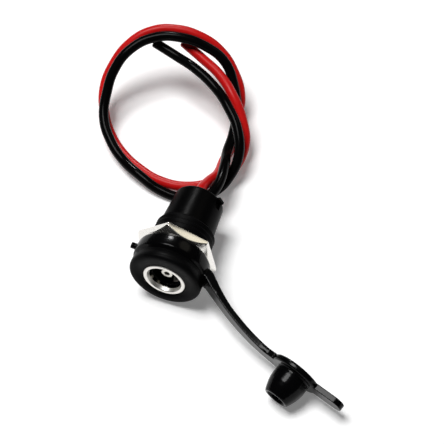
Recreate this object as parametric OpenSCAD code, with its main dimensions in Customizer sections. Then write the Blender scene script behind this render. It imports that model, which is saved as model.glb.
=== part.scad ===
// Panel-mount DC charging socket with a hex nut, a tethered rubber dust cap and two leads.
// The socket's axis is Y: the mouth opens towards -Y and the leads come out towards +Y.
// The origin is the centre of the mouth, at the front of its metal bush. +Z is up.
// The socket lies on a table, on one corner of its nut, with the cap and the leads beside it.

/* [Mouth and flange] */
// Outside diameter of the flange
flange_d = 14; // [12:0.1:18]
// Thickness of the flange
flange_t = 2.2; // [1.6:0.1:3.5]
// Radius of the rounded front edge of the flange
flange_edge_r = 0.7; // [0.2:0.1:1.2]
// Outside diameter of the metal bush in the mouth
bush_d = 8.2; // [7.4:0.1:9.4]
// Bore of the metal bush
bush_bore_d = 6.2; // [6:0.1:7]
// Length of the metal bush
bush_len = 1.5; // [1:0.1:2]
// How far the bush stands out of the flange
bush_proud = 0.1; // [0.05:0.05:0.4]
// Bore of the body behind the bush, for the barrel of the mating plug
bore_d = 5.8; // [5.6:0.1:6.4]
// Depth of the bore from the mouth to the pin carrier
bore_depth = 9.5; // [8.5:0.1:11]

/* [Thread and nut] */
// Major diameter of the threaded neck
thread_d = 11.6; // [10.5:0.1:12.4]
// Length of the threaded neck behind the flange
thread_len = 9.7; // [8:0.1:12]
// Width of the nut across its flats
nut_af = 14; // [13:0.5:17]
// Thickness of the nut
nut_t = 1.8; // [1.2:0.1:2.5]
// Diameter of the flat ring on the nut's chamfered front face
nut_face_d = 13.7; // [12.6:0.1:14]
// How far the nut's lowest corner is turned from straight down, in degrees
nut_lean = 11.3; // [0:0.1:29]

/* [Contacts] */
// Diameter of the centre pin
pin_d = 2.1; // [1.9:0.1:2.6]
// Distance from the mouth to the tip of the centre pin
pin_setback = 1.7; // [1.6:0.1:3]
// Diameter of the hole in the end of the centre pin
pin_hole_d = 1.1; // [0.6:0.1:1.4]
// Depth of the hole in the end of the centre pin
pin_hole_depth = 3; // [1:0.5:5]
// Diameter of the pin's tail, which passes through its carrier
pin_tail_d = 1.4; // [1:0.1:1.8]
// Thickness of the pin carrier
carrier_t = 2.5; // [1.5:0.1:3]
// Width of the spring contact and of the solder tags
leaf_w = 1.6; // [1:0.1:2]
// Thickness of the spring contact and of the solder tags
leaf_t = 0.3; // [0.2:0.05:0.4]
// Angle of the spring contact below the socket's right-hand side, in degrees
leaf_turn = 60; // [40:1:75]
// Length of the solder tags behind the pin carrier
tag_len = 3; // [2.5:0.1:3.6]

/* [Rear boot] */
// Outside diameter of the boot at its rear end
boot_rear_d = 9.7; // [8.8:0.1:10.4]
// Length of the boot
boot_len = 7.6; // [7:0.1:11]
// Wall of the boot
boot_wall = 0.9; // [0.6:0.05:1.2]
// Thickness of the boot's rear end
boot_end_t = 1; // [0.6:0.1:1.5]
// Length of the spigot that the boot is pushed over
spigot_len = 2.5; // [1.5:0.1:3]
// Width of the latch window and of the nub behind it
latch_w = 1.5; // [1:0.1:2]
// Length of the latch window along the boot
latch_len = 1.6; // [1:0.1:2]

/* [Leads] */
// Diameter of each lead over its insulation
lead_d = 2; // [1.6:0.1:2.4]
// Diameter of the bare conductor
core_d = 1; // [0.6:0.1:1.2]
// Distance between the two leads where they leave the boot
lead_pitch = 2.8; // [2.6:0.1:3.2]

/* [Dust cap] */
// Outside diameter of the cap's ring round the neck
cap_ring_d = 14.6; // [13.6:0.1:16]
// Thickness of the cap's ring along the neck
cap_ring_t = 3.3; // [2.5:0.1:4]
// Width of the strap
strap_w = 3.1; // [2:0.1:3.6]
// Width of the strap where it joins the ring
strap_root_w = 4.4; // [3.8:0.1:5]
// Thickness of the strap and of the pull tab
strap_t = 1.15; // [0.9:0.05:1.4]
// Diameter of the cap's disc
disc_d = 9.8; // [8.8:0.1:11]
// Thickness of the cap's disc
disc_t = 1.2; // [1.2:0.1:2]
// Diameter of the plug where it meets the disc
plug_base_d = 6.7; // [6.2:0.1:7]
// Diameter of the plug at its tip
plug_tip_d = 5; // [4.4:0.1:5.4]
// Length of the plug
plug_len = 5.2; // [3.5:0.1:6.5]
// Diameter of the hole in the plug, for the centre pin
plug_hole_d = 2.8; // [2.6:0.1:3.2]
// Reach of the pull tab from the centre of the disc
tab_reach = 10.5; // [8.8:0.1:13]
// Turn of the disc and the tab from the socket's right-hand side towards the front, in degrees
cap_turn = 21; // [10:1:30]
// Lean of the plug below the level, in degrees
cap_lean = 14; // [0:1:24]

/* [Hidden] */
$fn = 48;

// Running gap between the pieces that turn or slide, and between pieces that are pushed together
slack = 0.05;
// Overlap of two shapes that are joined into one piece
joint = 0.2;

// Places along the axis, measured from the mouth
flange_front = bush_proud;
flange_back = flange_front + flange_t;
cap_front = flange_back + slack;
cap_back = cap_front + cap_ring_t;
nut_front = cap_back + slack;
thread_end = flange_back + thread_len;
spigot_end = thread_end + spigot_len;
carrier_back = bore_depth + carrier_t;
boot_back = thread_end + boot_len;
tag_back = carrier_back + tag_len;

// Radii of the body and the nut
bore_r = bore_d / 2;
thread_r = thread_d / 2;
thread_bevel = 0.3;
bore_bevel = 0.15;
nut_corner_r = nut_af / 2 / cos(30);
nut_bevel_slope = tan(45);
table_z = -nut_corner_r * cos(nut_lean);

// Leaf contact: its slot, its bow into the bore and its tail
slot_depth = 0.7;
slot_side = 0.1;
leaf_out = bore_r + slot_depth;
leaf_in = leaf_out - leaf_t;
leaf_front = bush_len + 0.6;
bow_in = bore_r - 0.45;
bow_at = leaf_front + 1.5;
bow_back = bow_at + 2.4;
leaf_jog = carrier_back + 0.8;

// Pin carrier and the pin's collar, rivet head and tag
carrier_r = bore_r + 0.5;
collar_r = pin_d / 2 + 0.6;
collar_t = 0.6;
rivet_r = pin_tail_d / 2 + 0.35;
rivet_t = 0.4;
eye_r = rivet_r + 0.3;

// Leads, their conductors and the solder joints, on a line through the axis
lead_r = lead_d / 2;
lead_off = lead_pitch / 2;
lead_front = tag_back + 1;
core_r = core_d / 2;
core_front = carrier_back + 1.4;
solder_gap = 0.25;
tag_in = lead_off + core_r + solder_gap;
tag_out = tag_in + leaf_t;
solder_r = 0.7;
solder_at = tag_in + 0.9 * leaf_t - solder_r;
solder_y = tag_back - 0.8;

// Boot
spigot_r = bore_r + slot_depth + 0.7;
boot_bore_r = spigot_r + slack;
boot_front_r = boot_bore_r + boot_wall;
boot_rear_r = boot_rear_d / 2;
cavity_r = boot_rear_r - boot_wall;
cavity_back = boot_back - boot_end_t;
boot_edge_r = 0.8;
latch_turn = 30;
latch_deep = 0.5;
latch_proud = 0.45;
latch_end = boot_back - 0.3;
latch_step = latch_end - 0.55;

// Cap ring, its gate nub and the strap's two bends
cap_r = cap_ring_d / 2;
cap_hole_r = thread_r + slack;
cap_bevel = 0.7;
cap_edge_r = 0.3;
gate_d = 1.2;
gate_proud = 1;
gate_turn = 10;
gate_at = cap_back - 1;
strap_start = [cap_r - 0.45, cap_front + 0.8];
strap_edge = 0.3;
strap_swell = 0.6;
strap_swell_run = 8;
strap_drop = 0.5;
strap_flare = 0.5;
strap_flare_run = 1.6;
root_bend_r = 1.3;
root_bend = 43.6;
sweep_r = 46;
strap_run = 6;
strap_inside = 2.5;
disc_edge_r = 0.4;
tab_w = strap_w + 0.4;
plug_bulge = 0.4;
plug_hole_depth = plug_len - 1;

// The disc stands on the table on its lower edge
disc_z = table_z + disc_edge_r
  + (disc_d / 2 - disc_edge_r) * cos(cap_lean)
  + (disc_t / 2 - disc_edge_r) * sin(cap_lean);

// Routes of the leads behind the boot: out, once round the loop and on to the cut end
red_route = [
  [-0.5, 25, -1], [0, 29.5, -3.5], [-0.5, 34.5, -5.5], [-0.5, 39.5, -6], [-1.5, 45, -5],
  [-2, 49, -2.5], [-4.7, 52.5, 0.5], [-8.5, 54.6, 3.4], [-13, 55, 5.5], [-18, 54.5, 6.2],
  [-22.5, 52.8, 5.8], [-26, 50, 4], [-28.5, 46, 0.5], [-29, 42, -2.5], [-27.5, 38, -5],
  [-24.5, 34, -6.5], [-20.5, 30.5, -6.9], [-16, 28, -6.9], [-11, 26.5, -6.9], [-5.5, 27, -6.9],
  [-1.5, 29.5, -6.9], [1.5, 33.5, -6.7], [2.5, 38.5, -4], [0.5, 42.5, -1], [-2.5, 45.5, 1.5],
  [-6.5, 49, 2.5], [-11, 51.5, 3], [-16, 54, 3.5]
];
black_route = [
  [1.7, 25, -0.8], [1.2, 30, -1.3], [0, 35, -3], [-0.5, 40, -3.5], [-1.5, 45, -2],
  [-3.5, 49, 0.5], [-6.5, 52, 3.3], [-11, 52.8, 5.5], [-16, 52.5, 6.5], [-21, 51, 6.3],
  [-25, 47.5, 5], [-27, 43.5, 2.5], [-27.3, 39.5, -0.5], [-26.3, 35, -3], [-23.3, 31, -4.5],
  [-19.5, 28, -5.5], [-15, 25.5, -5.5], [-10, 24, -6.5], [-5.5, 24, -6.9], [-2, 25.5, -6.9],
  [0.5, 28, -6.5], [2, 30.5, -5], [2.7, 34, -2.5], [1, 38.5, 0], [-2.5, 42.5, 1.5],
  [-6.5, 46, 2], [-11.5, 48.5, 3], [-16.5, 50.5, 3], [-21.5, 52, 3.5]
];
lead_sides = 8;
lead_lip = 0.6;

// Stands its children, drawn with the depth along Z, on the socket's axis
module on_axis() {
  rotate([-90, 0, 0]) children();
}

// Turns its children, drawn with X as the radius, to the side of the spring contact or opposite it
module at_leaf(opposite = false) {
  on_axis() rotate([0, 0, leaf_turn + (opposite ? 180 : 0)]) children();
}

// A strip bent to a profile of [radius, depth] points, leaf_w wide
module bent_strip(profile) {
  translate([0, leaf_w / 2, 0])
    rotate([90, 0, 0])
      linear_extrude(leaf_w) polygon(profile);
}

// A straight round bar from one depth to another
module bar(r, from, to) {
  translate([0, 0, from]) cylinder(r = r, h = to - from);
}

// Where a lead crosses a plane across the axis, on the side of the spring contact or opposite it
function lead_place(side, y) = [
  side * lead_off * cos(leaf_turn), y, -side * lead_off * sin(leaf_turn)
];

function unit(v) = v / norm(v);

// Direction of a route at one of its points
function heading(route, i) =
  i == 0 ? unit(route[1] - route[0])
  : i == len(route) - 1 ? unit(route[i] - route[i - 1])
  : unit(unit(route[i + 1] - route[i]) + unit(route[i] - route[i - 1]));

// Ring of corners round one point of a route
function ring_at(route, i, r) =
  let (
    ahead = heading(route, i),
    across = unit(cross(ahead, [0, 0, 1])),
    above = cross(across, ahead)
  )
  [for (k = [0 : lead_sides - 1])
    route[i] + r * (across * cos(360 * k / lead_sides) + above * sin(360 * k / lead_sides))];

// Closed skin over a row of rings that have as many corners each
module skin(rings) {
  n = len(rings[0]);
  last = len(rings) - 1;
  corners = [for (ring = rings) each ring];
  walls = [for (i = [0 : last - 1], k = [0 : n - 1])
    let (a = i * n + k, b = i * n + (k + 1) % n)
    each [[a, a + n, b], [b, a + n, b + n]]];
  front = [[for (k = [0 : n - 1]) k]];
  rear = [[for (k = [0 : n - 1]) last * n + n - 1 - k]];
  polyhedron(corners, concat(walls, front, rear));
}

// A lead: straight through the boot's end, then along its route
module lead(side, route) {
  path = concat([lead_place(side, lead_front), lead_place(side, boot_back + lead_lip)], route);
  skin([for (i = [0 : len(path) - 1]) ring_at(path, i, lead_r)]);
}

// Black moulded body: flange, threaded neck, bore, rear pocket and spigot in one piece
module socket_body() {
  edge = flange_edge_r;
  color([0.09, 0.09, 0.1])
    difference() {
      on_axis() union() {
        rotate_extrude()
          difference() {
            union() {
              translate([0, flange_front + edge]) square([flange_d / 2, flange_t - edge]);
              translate([0, flange_front]) square([flange_d / 2 - edge, flange_t]);
              translate([flange_d / 2 - edge, flange_front + edge]) circle(r = edge);
              polygon([
                [0, flange_back - joint], [thread_r, flange_back - joint],
                [thread_r, thread_end - thread_bevel], [thread_r - thread_bevel, thread_end],
                [0, thread_end]
              ]);
              translate([0, thread_end - joint]) square([spigot_r, spigot_len + joint]);
            }
            polygon([
              [0, 0], [bush_d / 2 + slack, 0], [bush_d / 2 + slack, bush_len],
              [bore_r + bore_bevel, bush_len], [bore_r, bush_len + bore_bevel],
              [bore_r, bore_depth], [carrier_r + slack, bore_depth],
              [carrier_r + slack, spigot_end + joint], [0, spigot_end + joint]
            ]);
          }
      }
      at_leaf() leaf_slot(leaf_front - slack, spigot_end + joint);
    }
}

// Slot that the spring contact lies in
module leaf_slot(from, to) {
  width = leaf_w + 2 * slot_side;
  translate([0, -width / 2, from]) cube([bore_r + slot_depth, width, to - from]);
}

// Nickel-plated bush pressed into the mouth
module mouth_bush() {
  lip = 0.25;
  color([0.86, 0.86, 0.84])
    on_axis()
      rotate_extrude()
        difference() {
          union() {
            translate([bush_bore_d / 2, lip]) square([(bush_d - bush_bore_d) / 2, bush_len - lip]);
            translate([bush_bore_d / 2, 0]) square([(bush_d - bush_bore_d) / 2 - lip, bush_len]);
            translate([bush_d / 2 - lip, lip]) circle(r = lip);
          }
          translate([0, -lip]) square([bush_bore_d / 2, bush_len + 2 * lip]);
        }
}

// Tubular centre pin with a collar in front of its carrier and a riveted tail behind its tag
module centre_pin() {
  color([0.84, 0.83, 0.78])
    on_axis()
      difference() {
        union() {
          bar(pin_d / 2, pin_setback, bore_depth);
          bar(collar_r, bore_depth - collar_t, bore_depth);
          bar(pin_tail_d / 2, bore_depth - joint, carrier_back + leaf_t);
          bar(rivet_r, carrier_back + leaf_t, carrier_back + leaf_t + rivet_t);
        }
        bar(pin_hole_d / 2, pin_setback - joint, pin_setback + pin_hole_depth);
      }
}

// Insulator at the back of the bore, with a hole for the pin and a notch for the spring contact
module pin_carrier() {
  color([0.13, 0.13, 0.13])
    difference() {
      on_axis()
        difference() {
          bar(carrier_r, bore_depth, carrier_back);
          bar(pin_tail_d / 2 + slack, bore_depth - joint, carrier_back + joint);
        }
      at_leaf()
        translate([leaf_in - slot_side, -leaf_w / 2 - slot_side, bore_depth - joint])
          cube([carrier_r, leaf_w + 2 * slot_side, carrier_t + 2 * joint]);
    }
}

// Solder tag of the pin: an eye under the rivet and a strip bent back towards the lead
module pin_tag() {
  color([0.8, 0.78, 0.7])
    difference() {
      union() {
        on_axis() bar(eye_r, carrier_back, carrier_back + leaf_t);
        at_leaf(opposite = true)
          bent_strip([
            [eye_r - 2 * joint, carrier_back], [tag_out, carrier_back], [tag_out, tag_back],
            [tag_in, tag_back], [tag_in, carrier_back + leaf_t],
            [eye_r - 2 * joint, carrier_back + leaf_t]
          ]);
      }
      on_axis() bar(pin_tail_d / 2 + slack, carrier_back - joint, carrier_back + leaf_t + joint);
    }
}

// Leaf contact: bowed into the bore, straight through the carrier, then jogged in to a solder tail
module spring_contact() {
  color([0.82, 0.8, 0.72])
    at_leaf()
      bent_strip([
        [tag_out, tag_back], [tag_out, leaf_jog + leaf_t], [leaf_out, leaf_jog + leaf_t],
        [leaf_out, bow_back], [bow_in + leaf_t, bow_at], [leaf_out, leaf_front],
        [leaf_in, leaf_front], [bow_in, bow_at], [leaf_in, bow_back], [leaf_in, leaf_jog],
        [tag_in, leaf_jog], [tag_in, tag_back]
      ]);
}

// Bare tinned end of a lead, beside its tag
module conductor(opposite) {
  color([0.78, 0.72, 0.62])
    at_leaf(opposite) translate([lead_off, 0, 0]) bar(core_r, core_front, lead_front);
}

module red_conductor() {
  conductor(true);
}

module black_conductor() {
  conductor(false);
}

// Bead of solder between a conductor and its tag
module solder(opposite) {
  color([0.7, 0.7, 0.7])
    at_leaf(opposite)
      difference() {
        translate([solder_at, 0, solder_y]) sphere(r = solder_r);
        translate([lead_off, 0, 0]) bar(core_r, core_front, lead_front);
        translate([tag_in, -leaf_w, carrier_back]) cube([leaf_w, 2 * leaf_w, 2 * tag_len]);
      }
}

module red_solder() {
  solder(true);
}

module black_solder() {
  solder(false);
}

// Red lead, soldered to the pin's tag
module red_lead() {
  color([0.78, 0.08, 0.1]) lead(-1, red_route);
}

// Black lead, soldered to the spring contact's tail
module black_lead() {
  color([0.06, 0.06, 0.06]) lead(1, black_route);
}

// Tapered boot pushed over the spigot, with a hole for each lead and a latch at its right side
module rear_boot() {
  edge = boot_edge_r;
  color([0.11, 0.11, 0.11])
    on_axis()
      difference() {
        union() {
          rotate_extrude()
            difference() {
              union() {
                polygon([
                  [0, thread_end], [boot_front_r, thread_end],
                  [boot_rear_r, boot_back - edge], [boot_rear_r - edge, boot_back],
                  [0, boot_back]
                ]);
                intersection() {
                  translate([boot_rear_r - edge, boot_back - edge]) circle(r = edge);
                  translate([0, thread_end]) square([boot_rear_r, boot_len]);
                }
              }
              polygon([
                [-joint, thread_end - joint], [boot_bore_r, thread_end - joint],
                [boot_bore_r, spigot_end], [cavity_r, spigot_end + joint],
                [cavity_r, cavity_back], [-joint, cavity_back]
              ]);
            }
          rotate([0, 0, -latch_turn])
            translate([boot_rear_r - latch_deep, -latch_w / 2, latch_step])
              cube([latch_deep + latch_proud, latch_w, latch_end - latch_step]);
        }
        rotate([0, 0, -latch_turn])
          translate([boot_rear_r - latch_deep, -latch_w / 2, latch_step - latch_len])
            cube([boot_front_r, latch_w, latch_len]);
        for (side = [0, 180])
          rotate([0, 0, leaf_turn + side])
            translate([lead_off, 0, 0])
              bar(lead_r + slack, cavity_back - joint, boot_back + joint);
      }
}

// Hex panel nut, chamfered on its front face
module hex_nut() {
  reach = nut_corner_r + joint;
  color([0.85, 0.84, 0.8])
    on_axis()
      translate([0, 0, nut_front])
        difference() {
          intersection() {
            rotate([0, 0, 30 - nut_lean]) cylinder(r = nut_corner_r, h = nut_t, $fn = 6);
            rotate_extrude()
              polygon([
                [0, 0], [nut_face_d / 2, 0],
                [reach, (reach - nut_face_d / 2) * nut_bevel_slope], [reach, nut_t + joint],
                [0, nut_t + joint]
              ]);
          }
          bar(thread_r + slack, -joint, nut_t + joint);
        }
}

// The strap's middle line in plan, as [x, y, turn]: out of the ring, bent forward, then eased straight
function strap_root(a) = [
  strap_start[0] + root_bend_r * sin(a),
  strap_start[1] - root_bend_r * (1 - cos(a)),
  a
];
function strap_sweep(a) = [
  strap_root(root_bend)[0] + sweep_r * (sin(root_bend) - sin(a)),
  strap_root(root_bend)[1] - sweep_r * (cos(a) - cos(root_bend)),
  a
];
function strap_straight(d) = [
  strap_sweep(cap_turn)[0] + d * cos(cap_turn),
  strap_sweep(cap_turn)[1] - d * sin(cap_turn),
  cap_turn
];
strap_line = concat(
  [for (i = [0 : 4]) strap_root(root_bend * i / 4)],
  [for (i = [1 : 8]) strap_sweep(root_bend + (cap_turn - root_bend) * i / 8)],
  [for (d = [strap_flare_run / 3 : strap_flare_run / 3 : strap_flare_run]) strap_straight(d)],
  [strap_straight(strap_run - strap_inside)]
);
disc_place = strap_straight(strap_run);

// Share of the strap's droop and twist that is reached at a point of its middle line
function strap_share(p) =
  let (f = (p[0] - strap_start[0]) / (strap_line[len(strap_line) - 1][0] - strap_start[0]))
  f * f * (3 - 2 * f);

// Cross-section of the strap at a point of its middle line
function strap_section(p) =
  let (
    share = strap_share(p),
    lean = cap_lean * share,
    off = norm([p[0], p[1]] - strap_start),
    widen = max(0, 1 - off / strap_root_w),
    rim_gap = max(0, norm([p[0], p[1]] - [disc_place[0], disc_place[1]]) - disc_d / 2),
    flare = strap_flare * max(0, 1 - rim_gap / strap_flare_run),
    w = (strap_w + (strap_root_w - strap_w) * widen) / 2 + flare,
    swell = strap_swell * max(0, 1 - off / strap_swell_run),
    t = (strap_t + swell) / 2,
    level = [-sin(p[2]), -cos(p[2]), 0],
    face = level * cos(lean) - [0, 0, sin(lean)],
    upward = level * sin(lean) + [0, 0, cos(lean)],
    middle = [p[0], p[1], disc_z * share] - upward * strap_drop - face * swell / 2
  )
  [for (s = [[1, 1], [1, -1], [-1, -1], [-1, 1]], flat = [0, 1])
    let (cut = (flat == 0) == (s[0] == s[1]) ? [strap_edge, 0] : [0, strap_edge])
    middle + face * s[0] * (t - cut[0]) + upward * s[1] * (w - cut[1])];

// One-piece rubber cap: ring round the neck, strap, disc, hollow tapered plug and pull tab
module dust_cap() {
  color([0.08, 0.08, 0.085])
    union() {
      on_axis() cap_ring();
      skin([for (p = strap_line) strap_section(p)]);
      translate([disc_place[0], disc_place[1], disc_z])
        rotate([0, 0, -cap_turn])
          rotate([cap_lean, 0, 0])
            cap_end();
    }
}

// Ring of the cap with its gate nub
module cap_ring() {
  rotate_extrude()
    difference() {
      union() {
        polygon([
          [cap_hole_r, cap_front], [cap_r - cap_bevel, cap_front], [cap_r, cap_front + cap_bevel],
          [cap_r, cap_back - cap_edge_r], [cap_r - cap_edge_r, cap_back], [cap_hole_r, cap_back]
        ]);
        translate([cap_r - cap_edge_r, cap_back - cap_edge_r]) circle(r = cap_edge_r);
      }
      square([cap_hole_r, cap_back + joint]);
    }
  rotate([0, 0, gate_turn])
    translate([-cap_r + joint, 0, gate_at])
      rotate([0, -90, 0])
        cylinder(d = gate_d, h = gate_proud + joint);
}

// Disc, plug and tab, drawn with the disc's face across Y and the plug towards -Y
module cap_end() {
  rotate([90, 0, 0])
    difference() {
      union() {
        translate([0, 0, -disc_t / 2]) cap_disc();
        translate([0, -strap_drop, -strap_t / 2]) pull_tab();
        translate([0, 0, disc_t / 2]) plug();
      }
      translate([0, 0, disc_t / 2 + plug_len - plug_hole_depth])
        cylinder(d = plug_hole_d, h = plug_hole_depth + joint);
    }
}

// Disc with a rounded rim
module cap_disc() {
  edge = disc_edge_r;
  rotate_extrude()
    union() {
      square([disc_d / 2 - edge, disc_t]);
      translate([0, edge]) square([disc_d / 2, disc_t - 2 * edge]);
      for (y = [edge, disc_t - edge])
        translate([disc_d / 2 - edge, y]) circle(r = edge);
    }
}

// Pull tab with a round end
module pull_tab() {
  end_at = tab_reach - tab_w / 2;
  translate([0, -tab_w / 2, 0]) cube([end_at, tab_w, strap_t]);
  translate([end_at, 0, 0]) cylinder(d = tab_w, h = strap_t);
}

// Barrel-sided plug, widest at the disc
module plug() {
  base = plug_base_d / 2;
  tip = plug_tip_d / 2;
  rim = 0.15;
  rotate_extrude()
    polygon(concat(
      [[0, -joint], [base, -joint]],
      [for (i = [0 : 6])
        let (f = i / 6)
        [base + (tip - base) * f + plug_bulge * sin(180 * f), f * (plug_len - rim)]],
      [[tip - rim, plug_len], [0, plug_len]]
    ));
}

socket_body();
mouth_bush();
centre_pin();
pin_carrier();
pin_tag();
spring_contact();
red_conductor();
black_conductor();
red_solder();
black_solder();
red_lead();
black_lead();
rear_boot();
hex_nut();
dust_cap();
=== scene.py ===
import math

import bmesh
import bpy
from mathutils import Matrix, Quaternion, Vector


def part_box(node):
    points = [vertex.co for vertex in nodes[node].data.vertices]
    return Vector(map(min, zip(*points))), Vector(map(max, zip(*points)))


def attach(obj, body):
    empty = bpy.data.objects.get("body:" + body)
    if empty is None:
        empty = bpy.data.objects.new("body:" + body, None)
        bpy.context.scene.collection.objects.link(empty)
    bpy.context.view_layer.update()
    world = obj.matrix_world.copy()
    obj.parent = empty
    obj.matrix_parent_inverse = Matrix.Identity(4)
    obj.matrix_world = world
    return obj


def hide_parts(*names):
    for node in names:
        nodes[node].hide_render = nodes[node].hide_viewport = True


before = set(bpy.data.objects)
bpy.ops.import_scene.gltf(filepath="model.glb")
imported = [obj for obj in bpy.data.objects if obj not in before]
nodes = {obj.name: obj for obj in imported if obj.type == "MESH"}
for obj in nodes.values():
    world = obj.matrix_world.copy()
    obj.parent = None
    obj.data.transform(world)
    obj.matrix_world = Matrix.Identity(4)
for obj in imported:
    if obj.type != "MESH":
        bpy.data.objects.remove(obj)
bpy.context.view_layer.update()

scene = bpy.context.scene

# Camera: stands to the right of the mouth and looks steeply down on the socket,
# through a long lens, for the photograph's square frame.
camera_azimuth = math.radians(19.57)
camera_elevation = math.radians(53.46)
camera_distance = 0.3084
camera_lens = 128.9
camera_sensor = 36.0
camera_target = Vector((0.00407, 0.0206, -0.00623))
camera_back = Vector((
    math.sin(camera_azimuth) * math.cos(camera_elevation),
    -math.cos(camera_azimuth) * math.cos(camera_elevation),
    math.sin(camera_elevation),
))
camera = bpy.data.objects.new("camera", bpy.data.cameras.new("camera"))
camera.data.sensor_width = camera_sensor
camera.data.lens = camera_lens
camera.data.clip_start = 0.01
camera.data.clip_end = 10.0
camera.location = camera_target + camera_back * camera_distance
camera.rotation_mode = "QUATERNION"
camera.rotation_quaternion = (-camera_back).to_track_quat("-Z", "Y")
scene.collection.objects.link(camera)
scene.camera = camera

# Red lead: stranded copper in a glossy red extruded jacket, soldered to the centre pin's tag
# inside the boot. It springs up into one loop behind the boot and ends in a square cut that
# bares its seven strands.
red_lead_points = [
    (-0.7, 16, 1.21), (-0.7, 20.2, 1.21),
    (-0.5, 25, -1), (0, 29.5, -3.5), (-0.5, 34.5, -5.5), (-0.5, 39.5, -6), (-1.5, 45, -5),
    (-2, 49, -2.5), (-4.7, 52.5, 0.5), (-8.5, 54.6, 3.4), (-13, 55, 5.5), (-18, 54.5, 6.2),
    (-22.5, 52.8, 5.8), (-26, 50, 4), (-28.5, 46, 0.5), (-29, 42, -2.5), (-27.5, 38, -5),
    (-24.5, 34, -6.5), (-20.5, 30.5, -6.9), (-16, 28, -6.9), (-11, 26.5, -6.9), (-5.5, 27, -6.9),
    (-1.5, 29.5, -6.9), (1.5, 33.5, -6.7), (2.5, 38.5, -4), (0.5, 42.5, -1), (-2.5, 45.5, 1.5),
    (-6.5, 49, 2.5), (-11, 51.5, 3), (-16, 54, 3.5),
]
lead_diameter = 0.002
lead_roundness = 8
steps_a_point = 10
strand_diameter = 0.00032
strand_roundness = 2
strand_proud = 0.00006
outer_strands = 6


def surface(
    name, colour, roughness, metallic=0.0, gloss=0.5, mottle=0.15,
    grain=0.0, grain_size=0.0002, turned=False,
):
    """A plain finish with a faint cloudy tone, and a fine grain, or tool marks round the axis."""
    clouds_a_metre = 400.0
    cloud_detail = 4.0
    uneven_polish = 0.15
    grain_depth = grain_size / 10
    mix_dark = 6
    mix_light = 7
    mix_result = 2
    material = bpy.data.materials.new(name)
    material.use_nodes = True
    tree = material.node_tree
    shader = tree.nodes["Principled BSDF"]
    shader.inputs["Metallic"].default_value = metallic
    shader.inputs["Specular IOR Level"].default_value = gloss
    place = tree.nodes.new("ShaderNodeTexCoord")
    cloud = tree.nodes.new("ShaderNodeTexNoise")
    cloud.inputs["Scale"].default_value = clouds_a_metre
    cloud.inputs["Detail"].default_value = cloud_detail
    tree.links.new(place.outputs["Object"], cloud.inputs["Vector"])
    tone = tree.nodes.new("ShaderNodeMix")
    tone.data_type = "RGBA"
    tone.inputs[mix_dark].default_value = (*(c * (1 - mottle) for c in colour), 1)
    tone.inputs[mix_light].default_value = (*(min(1, c * (1 + mottle)) for c in colour), 1)
    tree.links.new(cloud.outputs["Fac"], tone.inputs["Factor"])
    tree.links.new(tone.outputs[mix_result], shader.inputs["Base Color"])
    polish = tree.nodes.new("ShaderNodeMapRange")
    polish.inputs["To Min"].default_value = roughness * (1 - uneven_polish)
    polish.inputs["To Max"].default_value = min(1, roughness * (1 + uneven_polish))
    tree.links.new(cloud.outputs["Fac"], polish.inputs["Value"])
    tree.links.new(polish.outputs["Result"], shader.inputs["Roughness"])
    if grain:
        speck = tree.nodes.new("ShaderNodeTexNoise")
        speck.inputs["Scale"].default_value = 1 / grain_size
        if turned:
            across = tree.nodes.new("ShaderNodeVectorMath")
            across.operation = "MULTIPLY"
            across.inputs[1].default_value = (1, 0, 1)
            radius = tree.nodes.new("ShaderNodeVectorMath")
            radius.operation = "LENGTH"
            depth = tree.nodes.new("ShaderNodeSeparateXYZ")
            mark = tree.nodes.new("ShaderNodeCombineXYZ")
            tree.links.new(place.outputs["Object"], across.inputs[0])
            tree.links.new(across.outputs[0], radius.inputs[0])
            tree.links.new(place.outputs["Object"], depth.inputs[0])
            tree.links.new(radius.outputs["Value"], mark.inputs["X"])
            tree.links.new(depth.outputs["Y"], mark.inputs["Y"])
            tree.links.new(mark.outputs[0], speck.inputs["Vector"])
        else:
            tree.links.new(place.outputs["Object"], speck.inputs["Vector"])
        bump = tree.nodes.new("ShaderNodeBump")
        bump.inputs["Strength"].default_value = grain
        bump.inputs["Distance"].default_value = grain_depth
        tree.links.new(speck.outputs["Fac"], bump.inputs["Height"])
        tree.links.new(bump.outputs["Normal"], shader.inputs["Normal"])
    return material


def paint(piece, material):
    """Gives a piece one material all over."""
    piece.data.materials.clear()
    piece.data.materials.append(material)


def wire(name, diameter, roundness):
    """A curve that is drawn as round wire with closed ends, still without a course."""
    curve = bpy.data.curves.new(name, "CURVE")
    curve.dimensions = "3D"
    curve.bevel_depth = diameter / 2
    curve.bevel_resolution = roundness
    curve.use_fill_caps = True
    return curve


def lead(name, points, node, material):
    """A lead as one smooth round cord through its points, in mm, in place of its CAD tube."""
    curve = wire(name, lead_diameter, lead_roundness)
    spline = curve.splines.new("BEZIER")
    spline.resolution_u = steps_a_point
    spline.bezier_points.add(len(points) - 1)
    for knot, point in zip(spline.bezier_points, points):
        knot.co = Vector(point) / 1000
        knot.handle_left_type = "AUTO"
        knot.handle_right_type = "AUTO"
    piece = bpy.data.objects.new(name, curve)
    scene.collection.objects.link(piece)
    paint(piece, material)
    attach(piece, "socket")
    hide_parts(node)
    return piece


def strand_ends(name, points):
    """The cut ends of the seven strands in a lead's core, just proud of its jacket."""
    end = Vector(points[-1]) / 1000
    along = (end - Vector(points[-2]) / 1000).normalized()
    side = along.orthogonal().normalized() * strand_diameter
    places = [Vector()]
    for k in range(outer_strands):
        places.append(Quaternion(along, math.tau * k / outer_strands) @ side)
    curve = wire(name, strand_diameter, strand_roundness)
    for place in places:
        spline = curve.splines.new("POLY")
        spline.points.add(1)
        spline.points[0].co = (*(end + place - along * strand_diameter), 1)
        spline.points[1].co = (*(end + place + along * strand_proud), 1)
    piece = bpy.data.objects.new(name, curve)
    scene.collection.objects.link(piece)
    paint(piece, tinned_copper)
    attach(piece, "socket")
    return piece


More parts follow.
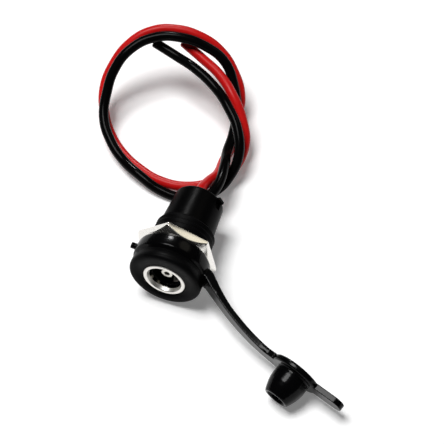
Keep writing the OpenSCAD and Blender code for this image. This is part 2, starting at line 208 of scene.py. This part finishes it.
tinned_copper = surface("tinned_copper", (0.66, 0.58, 0.48), 0.35, metallic=1.0, mottle=0.1)
red_pvc = surface("red_pvc", (0.56, 0.008, 0.008), 0.34, gloss=0.12, mottle=0.06)
red_cord = lead("red_cord", red_lead_points, "red_lead", red_pvc)
red_strands = strand_ends("red_strands", red_lead_points)

# Black lead: the same wire with a black jacket, soldered to the spring contact's tail. It runs
# beside the red lead and crosses over it on the left of the loop.
black_lead_points = [
    (0.7, 16, -1.21), (0.7, 20.2, -1.21),
    (1.7, 25, -0.8), (1.2, 30, -1.3), (0, 35, -3), (-0.5, 40, -3.5), (-1.5, 45, -2),
    (-3.5, 49, 0.5), (-6.5, 52, 3.3), (-11, 52.8, 5.5), (-16, 52.5, 6.5), (-21, 51, 6.3),
    (-25, 47.5, 5), (-27, 43.5, 2.5), (-27.3, 39.5, -0.5), (-26.3, 35, -3), (-23.3, 31, -4.5),
    (-19.5, 28, -5.5), (-15, 25.5, -5.5), (-10, 24, -6.5), (-5.5, 24, -6.9), (-2, 25.5, -6.9),
    (0.5, 28, -6.5), (2, 30.5, -5), (2.7, 34, -2.5), (1, 38.5, 0), (-2.5, 42.5, 1.5),
    (-6.5, 46, 2), (-11.5, 48.5, 3), (-16.5, 50.5, 3), (-21.5, 52, 3.5),
]
black_pvc = surface("black_pvc", (0.002, 0.002, 0.0021), 0.15, gloss=0.035, mottle=0.2)
black_cord = lead("black_cord", black_lead_points, "black_lead", black_pvc)
black_strands = strand_ends("black_strands", black_lead_points)

# Socket body: one matt black moulding. The neck's fine thread is cut into a copy of the CAD
# body, from under the cap's ring to the neck's end, so its crests keep the CAD neck's size.
# Sizes are in mm.
thread_r = 5.8
thread_depth = 0.42
thread_pitch = 1.0
thread_from = 3.2
thread_to = 12.6
thread_steps = 72
groove_proud = 0.168
groove_top_w = 1.176
groove_root_w = 0.08
body_edge_angle = 30


def weld(piece):
    """Joins a mesh's corners that lie together and takes out faces without area."""
    corner_gap = 2e-6
    sliver = 1e-6
    mesh = bmesh.new()
    mesh.from_mesh(piece.data)
    bmesh.ops.remove_doubles(mesh, verts=mesh.verts, dist=corner_gap)
    bmesh.ops.dissolve_degenerate(mesh, dist=sliver, edges=mesh.edges)
    bmesh.ops.recalc_face_normals(mesh, faces=mesh.faces)
    mesh.to_mesh(piece.data)
    mesh.free()


def copy_of(node, name):
    """A separate welded copy of a CAD node's mesh, to be worked on, in place of the node."""
    piece = bpy.data.objects.new(name, nodes[node].data.copy())
    scene.collection.objects.link(piece)
    weld(piece)
    return piece


def swept(name, rings, closed=False):
    """A solid over rings of points, in mm, that has flat ends or, if closed, joins end to end."""
    mesh = bmesh.new()
    hoops = []
    for ring in rings:
        hoops.append([mesh.verts.new([c / 1000 for c in point]) for point in ring])
    following = hoops[1:]
    if closed:
        following = hoops[1:] + hoops[:1]
    else:
        mesh.faces.new(hoops[0])
        mesh.faces.new(hoops[-1][::-1])
    for before, after in zip(hoops, following):
        for k in range(len(before)):
            mesh.faces.new((before[k], before[k - 1], after[k - 1], after[k]))
    bmesh.ops.recalc_face_normals(mesh, faces=mesh.faces)
    piece = bpy.data.objects.new(name, bpy.data.meshes.new(name))
    mesh.to_mesh(piece.data)
    mesh.free()
    scene.collection.objects.link(piece)
    return piece


def apply_modifiers(piece):
    """Turns a piece's modifiers into its mesh."""
    shaped = bpy.data.meshes.new_from_object(
        piece.evaluated_get(bpy.context.evaluated_depsgraph_get())
    )
    piece.modifiers.clear()
    piece.data = shaped


def combine(piece, tool, operation):
    """Cuts a tool's solid out of a piece or joins it to the piece, and takes the tool away."""
    step = piece.modifiers.new(tool.name, "BOOLEAN")
    step.operation = operation
    step.solver = "EXACT"
    step.object = tool
    apply_modifiers(piece)
    bpy.data.objects.remove(tool)


def smooth(piece, angle):
    """Shades a piece smooth, with an edge wherever faces meet at more than the angle."""
    piece.data.shade_smooth()
    piece.data.set_sharp_from_angle(angle=math.radians(angle))


def thread_groove():
    """The groove of the thread as a solid: a tapered section swept along its helix."""
    half_top = groove_top_w / 2
    half_root = groove_root_w / 2
    section = [
        (thread_r + groove_proud, -half_top), (thread_r + groove_proud, half_top),
        (thread_r - thread_depth, half_root), (thread_r - thread_depth, -half_root),
    ]
    turns = (thread_to - thread_from) / thread_pitch
    rings = []
    for i in range(int(turns * thread_steps) + 1):
        angle = math.tau * i / thread_steps
        y = thread_from + thread_pitch * i / thread_steps
        rings.append([(r * math.cos(angle), y + dy, -r * math.sin(angle)) for r, dy in section])
    return swept("thread_groove", rings)


body = copy_of("socket_body", "threaded_body")
combine(body, thread_groove(), "DIFFERENCE")
weld(body)
smooth(body, body_edge_angle)
body_black = surface(
    "body_black", (0.002, 0.002, 0.0022), 0.42, gloss=0.03, grain=0.25, grain_size=0.00012,
)
paint(body, body_black)
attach(body, "socket")
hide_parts("socket_body")

# Mouth bush: a turned brass ring with bright nickel plating, pressed into the flange. Its bore
# opens to the front in a cone that leads the plug in, and its lip is rounded. The lip and the
# cone are left as turned, and the bore behind them is reamed smooth. Sizes are in mm.
bush_profile = [
    (3.1, 1.5), (3.1, 0.8), (3.11, 0.74), (3.14, 0.66), (3.35, 0.22), (3.39, 0.12), (3.46, 0.04),
    (3.54, 0.005), (3.6, 0), (3.85, 0), (3.95, 0.02), (4.03, 0.07), (4.08, 0.15), (4.1, 0.25),
    (4.1, 1.5),
]
bush_steps = 128
bush_edge_angle = 40
cone_end = 0.68
bore_start = 0.8
turned_roughness = 0.40
reamed_roughness = 0.12
bush_rings = []
for i in range(bush_steps):
    angle = math.tau * i / bush_steps
    bush_rings.append([(r * math.cos(angle), y, r * math.sin(angle)) for r, y in bush_profile])
bush = swept("plated_bush", bush_rings, closed=True)
smooth(bush, bush_edge_angle)
turned_nickel = surface(
    "turned_nickel", (0.80, 0.78, 0.74), turned_roughness, metallic=1.0, mottle=0.03,
    grain=0.15, grain_size=0.00008, turned=True,
)
bush_tree = turned_nickel.node_tree
bush_shader = bush_tree.nodes["Principled BSDF"]
bush_place = bush_tree.nodes.new("ShaderNodeTexCoord")
bush_depth = bush_tree.nodes.new("ShaderNodeSeparateXYZ")
reamed = bush_tree.nodes.new("ShaderNodeMapRange")
reamed.inputs["From Min"].default_value = cone_end / 1000
reamed.inputs["From Max"].default_value = bore_start / 1000
reamed.inputs["To Min"].default_value = turned_roughness
reamed.inputs["To Max"].default_value = reamed_roughness
bush_tree.links.new(bush_place.outputs["Object"], bush_depth.inputs[0])
bush_tree.links.new(bush_depth.outputs["Y"], reamed.inputs["Value"])
bush_tree.links.new(reamed.outputs["Result"], bush_shader.inputs["Roughness"])
paint(bush, turned_nickel)
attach(bush, "socket")
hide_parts("mouth_bush")

# Centre pin: the socket's positive contact, a brass tube that is turned and tinned. It stands on
# the axis of the bore, and its tail is riveted through the carrier and the tag.
contact_metal = surface("contact_metal", (0.74, 0.72, 0.66), 0.28, metallic=1.0, mottle=0.05)
paint(nodes["centre_pin"], contact_metal)

# Pin carrier: the insulator that holds the pin on the axis, moulded in plain black plastic. It is
# pushed into the back of the body.
carrier_black = surface("carrier_black", (0.006, 0.006, 0.006), 0.55, gloss=0.3)
paint(nodes["pin_carrier"], carrier_black)

# Pin tag: the red lead's solder tag, stamped from brass strip and tinned. It is held under the
# rivet of the pin's tail, so it takes the pin's finish.
paint(nodes["pin_tag"], contact_metal)

# Spring contact: the socket's negative contact, a strip of spring brass that is stamped, bent and
# tinned. It bows into the bore through a slot, and its tail is the black lead's solder tag.
paint(nodes["spring_contact"], contact_metal)

# Conductors: the bare ends of the two leads' strands, tinned and twisted. Each lies beside its
# tag inside the boot, where it is soldered.
paint(nodes["red_conductor"], tinned_copper)
paint(nodes["black_conductor"], tinned_copper)

# Solder joints: beads of dull grey solder, run in hot between each conductor and its tag. They
# have set with a slightly grainy skin.
solder = surface("solder", (0.58, 0.58, 0.58), 0.40, metallic=1.0, mottle=0.1, grain=0.3)
paint(nodes["red_solder"], solder)
paint(nodes["black_solder"], solder)

# Rear boot: the tapered housing over the solder joints, moulded in satin black plastic. It is
# pushed over the body's spigot, and each lead comes out through a hole of its own.
boot_black = surface(
    "boot_black", (0.0015, 0.0015, 0.0016), 0.32, gloss=0.018, grain=0.15, grain_size=0.0002,
)
paint(nodes["rear_boot"], boot_black)

# Hex nut: pressed brass with bright nickel plating. Its edges are broken by the tumbling
# before the plating, so a copy of the CAD nut gets a small round on each.
nut_edge = 0.00012
nut_edge_steps = 3
nut_round_from = 25
nut_edge_angle = 40
nickel = surface("nickel", (0.80, 0.78, 0.74), 0.20, metallic=1.0, mottle=0.03, grain=0.05)
nut = copy_of("hex_nut", "plated_nut")
rounding = nut.modifiers.new("edge", "BEVEL")
rounding.width = nut_edge
rounding.segments = nut_edge_steps
rounding.limit_method = "ANGLE"
rounding.angle_limit = math.radians(nut_round_from)
apply_modifiers(nut)
smooth(nut, nut_edge_angle)
paint(nut, nickel)
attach(nut, "nut")
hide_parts("hex_nut")

# Dust cap: one moulding of soft black rubber, its ring snapped over the neck. A copy of the CAD
# cap gets a strap with crisper edges, and is remeshed and relaxed into one skin. Its ring is then
# crowned between its edges, and its plug's hole flared to a thin round lip. Sizes are in mm.
cap_voxel = 0.12
cap_edge_angle = 60
ring_r = 7.3
ring_mid = 4.0
ring_half = 1.65
ring_crown = 0.16
ring_reach = 1.05
ring_under = 0.9
ring_over = 0.15
ring_fade = 0.13
strap_start = Vector((6.85, 3.15))
strap_bend_r = 1.3
strap_bend = math.radians(43.6)
strap_bend_steps = 8
strap_sweep_r = 46
strap_turn = math.radians(21)
strap_sweep_steps = 32
strap_run = 6
strap_inside = 2.5
strap_flare = 0.5
strap_flare_run = 1.6
strap_flare_steps = 6
strap_half_w = 1.57
strap_root_w = 4.4
strap_half_t = 0.595
strap_swell = 0.3
strap_swell_run = 8
strap_drop = 0.5
disc_r = 4.9
disc_half_t = 0.6
disc_lean = math.radians(14)
disc_z = -3.111
plug_len = 5.2
plug_end_r = 2.35
plug_hole_r = 1.4
plug_lip = 0.4
plug_flare = 1.2
lip_slack = 0.1
lip_depth = 0.4
lip_over = 0.3
lip_rounds = 6


def strap_course():
    """The strap's middle line from above, as points with its turn at each, to the straight end."""
    course = []
    for i in range(strap_bend_steps + 1):
        turn = strap_bend * i / strap_bend_steps
        bent = Vector((math.sin(turn), math.cos(turn) - 1))
        course.append((strap_start + strap_bend_r * bent, turn))
    bend_end = course[-1][0]
    for i in range(1, strap_sweep_steps + 1):
        turn = strap_bend + (strap_turn - strap_bend) * i / strap_sweep_steps
        swung = Vector((
            math.sin(strap_bend) - math.sin(turn),
            math.cos(strap_bend) - math.cos(turn),
        ))
        course.append((bend_end + strap_sweep_r * swung, turn))
    return course


def strap_sides(turn, lean):
    """The directions out of the strap's front and up its width, for a turn and a lean."""
    level = Vector((-math.sin(turn), -math.cos(turn), 0))
    upright = Vector((0, 0, 1))
    front = level * math.cos(lean) - upright * math.sin(lean)
    top = level * math.sin(lean) + upright * math.cos(lean)
    return front, top


def strap_section(place, turn):
    """The four corners of the strap's section at one point of its course."""
    far = (place.x - strap_start.x) / (strap_end.x - strap_start.x)
    share = far * far * (3 - 2 * far)
    from_root = (place - strap_start).length
    from_rim = max(0, (place - disc_middle).length - disc_r)
    half_w = strap_half_w + (strap_root_w / 2 - strap_half_w) * max(0, 1 - from_root / strap_root_w)
    half_w += strap_flare * max(0, 1 - from_rim / strap_flare_run)
    swell = strap_swell * max(0, 1 - from_root / strap_swell_run)
    front, top = strap_sides(turn, disc_lean * share)
    middle = Vector((place.x, place.y, disc_z * share)) - top * strap_drop - front * swell
    out = front * (strap_half_t + swell)
    up = top * half_w
    return [middle + out + up, middle + out - up, middle - out - up, middle - out + up]


def relax(piece, rounds, group=""):
    """Draws a mesh's corners, or only a group's, halfway to their neighbours, in rounds."""
    halfway = 0.5
    settle = piece.modifiers.new("settle", "SMOOTH")
    settle.factor = halfway
    settle.iterations = rounds
    settle.vertex_group = group
    apply_modifiers(piece)


strap_line = strap_course()
sweep_end = strap_line[-1][0]
ahead = Vector((math.cos(strap_turn), -math.sin(strap_turn)))
strap_end = sweep_end + ahead * (strap_run - strap_inside)
disc_middle = sweep_end + ahead * strap_run
for i in range(1, strap_flare_steps + 1):
    strap_line.append((sweep_end + ahead * strap_flare_run * i / strap_flare_steps, strap_turn))
strap_rings = [strap_section(place, turn) for place, turn in strap_line]
cap = copy_of("dust_cap", "rubber_cap")
combine(cap, swept("crisp_strap", strap_rings), "UNION")
knead = cap.modifiers.new("one_skin", "REMESH")
knead.mode = "VOXEL"
knead.voxel_size = cap_voxel / 1000
relax(cap, 1)
for corner in cap.data.vertices:
    radius = 1000 * math.hypot(corner.co.x, corner.co.z)
    off_middle = (1000 * corner.co.y - ring_mid) / ring_half
    if abs(off_middle) < ring_reach and ring_r - ring_under < radius < ring_r + ring_over:
        share = min(1, (ring_r + ring_over - radius) / ring_fade)
        sunk = 1 - share * ring_crown * off_middle ** 2 / radius
        corner.co.x *= sunk
        corner.co.z *= sunk
plug_axis = strap_sides(strap_turn, disc_lean)[0]
plug_end = Vector((disc_middle.x, disc_middle.y, disc_z)) + plug_axis * (disc_half_t + plug_len)
lip = []
for corner in cap.data.vertices:
    from_end = 1000 * corner.co - plug_end
    depth = -from_end.dot(plug_axis)
    spoke = from_end + depth * plug_axis
    radius = spoke.length
    if -lip_slack < depth < plug_flare and plug_hole_r - lip_slack < radius < plug_end_r:
        opened = (plug_end_r - plug_lip - plug_hole_r) * (1 - max(0, depth) / plug_flare)
        share = min(1, (plug_end_r - radius) / (plug_end_r - plug_hole_r))
        corner.co += spoke / radius * opened * share / 1000
    if depth < lip_depth and radius < plug_end_r + lip_over:
        lip.append(corner.index)
cap.vertex_groups.new(name="lip").add(lip, 1, "REPLACE")
relax(cap, lip_rounds, group="lip")
smooth(cap, cap_edge_angle)
cap_rubber = surface(
    "cap_rubber", (0.0015, 0.0015, 0.0017), 0.18, gloss=0.095, grain=0.2, grain_size=0.00025,
)
paint(cap, cap_rubber)
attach(cap, "cap")
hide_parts("dust_cap")

# Table: a plain white surface that the nut, the leads and the cap rest on. It has a little glow
# of its own for the camera and in reflections, so that it is white and keeps a pale shadow. Far
# from the socket, where the light gives out, it glows fully for both.
table_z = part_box("hex_nut")[0].z
table_size = 12.0
table_glow = 0.20
table_fade_from = 0.15
table_fade_to = 1.0


def maths(tree, operation, *terms, clamp=False):
    """The result of a maths node, whose terms are numbers or other nodes' outputs."""
    step = tree.nodes.new("ShaderNodeMath")
    step.operation = operation
    step.use_clamp = clamp
    for term, socket in zip(terms, step.inputs):
        if isinstance(term, float):
            socket.default_value = term
        else:
            tree.links.new(term, socket)
    return step.outputs[0]


half = table_size / 2
table = bpy.data.objects.new("table", bpy.data.meshes.new("table"))
table.data.from_pydata(
    [(-half, -half, table_z), (half, -half, table_z), (half, half, table_z), (-half, half, table_z)],
    [], [(0, 1, 2, 3)],
)
scene.collection.objects.link(table)
table_white = surface("table_white", (0.93, 0.93, 0.93), 0.7, gloss=0.0, mottle=0.01)
table_tree = table_white.node_tree
table_shader = table_tree.nodes["Principled BSDF"]
rays = table_tree.nodes.new("ShaderNodeLightPath")
mirrored = maths(
    table_tree, "ADD", rays.outputs["Is Glossy Ray"], rays.outputs["Is Transmission Ray"],
)
seen = maths(table_tree, "ADD", rays.outputs["Is Camera Ray"], mirrored, clamp=True)
glow = maths(table_tree, "MULTIPLY", seen, table_glow)
spot = table_tree.nodes.new("ShaderNodeTexCoord")
reach = table_tree.nodes.new("ShaderNodeVectorMath")
reach.operation = "LENGTH"
fade = table_tree.nodes.new("ShaderNodeMapRange")
fade.inputs["From Min"].default_value = table_fade_from
fade.inputs["From Max"].default_value = table_fade_to
table_tree.links.new(spot.outputs["Object"], reach.inputs[0])
table_tree.links.new(reach.outputs["Value"], fade.inputs["Value"])
whitened = maths(table_tree, "MULTIPLY_ADD", fade.outputs["Result"], seen, glow)
table_shader.inputs["Emission Color"].default_value = (1, 1, 1, 1)
table_tree.links.new(whitened, table_shader.inputs["Emission Strength"])
paint(table, table_white)

# Light: a large softbox overhead and a little to the left, in a dark room. A small lamp behind
# on the left and a warm card behind on the right show only as gleams, and cast no shadow.
light_distance = 2.4
room_level = 0.015


def softbox(name, direction, width, level, colour=(1, 1, 1), gleam_only=False):
    """A round soft light that gives a level of light from a direction, 1 being full light."""
    light = bpy.data.objects.new(name, bpy.data.lights.new(name, "AREA"))
    light.data.shape = "DISK"
    light.data.size = width
    light.data.color = colour
    towards = Vector(direction).normalized()
    light.data.energy = level * math.pi * math.pi * light_distance ** 2 / towards.z
    light.location = camera_target + towards * light_distance
    light.rotation_mode = "QUATERNION"
    light.rotation_quaternion = towards.to_track_quat("Z", "Y")
    light.visible_camera = False
    light.visible_diffuse = not gleam_only
    scene.collection.objects.link(light)


softbox("overhead", (-0.26, -0.06, 1.0), 1.15, 1.0)
softbox("back_left", (-0.40, 0.99, 1.0), 0.3, 0.35, gleam_only=True)
softbox("back_right", (0.57, 0.78, 1.0), 1.2, 0.05, colour=(1.0, 0.94, 0.78), gleam_only=True)
room = bpy.data.worlds.new("room")
room.use_nodes = True
walls = room.node_tree.nodes["Background"]
walls.inputs["Color"].default_value = (1, 1, 1, 1)
walls.inputs["Strength"].default_value = room_level
scene.world = room
scene.view_settings.view_transform = "Standard"
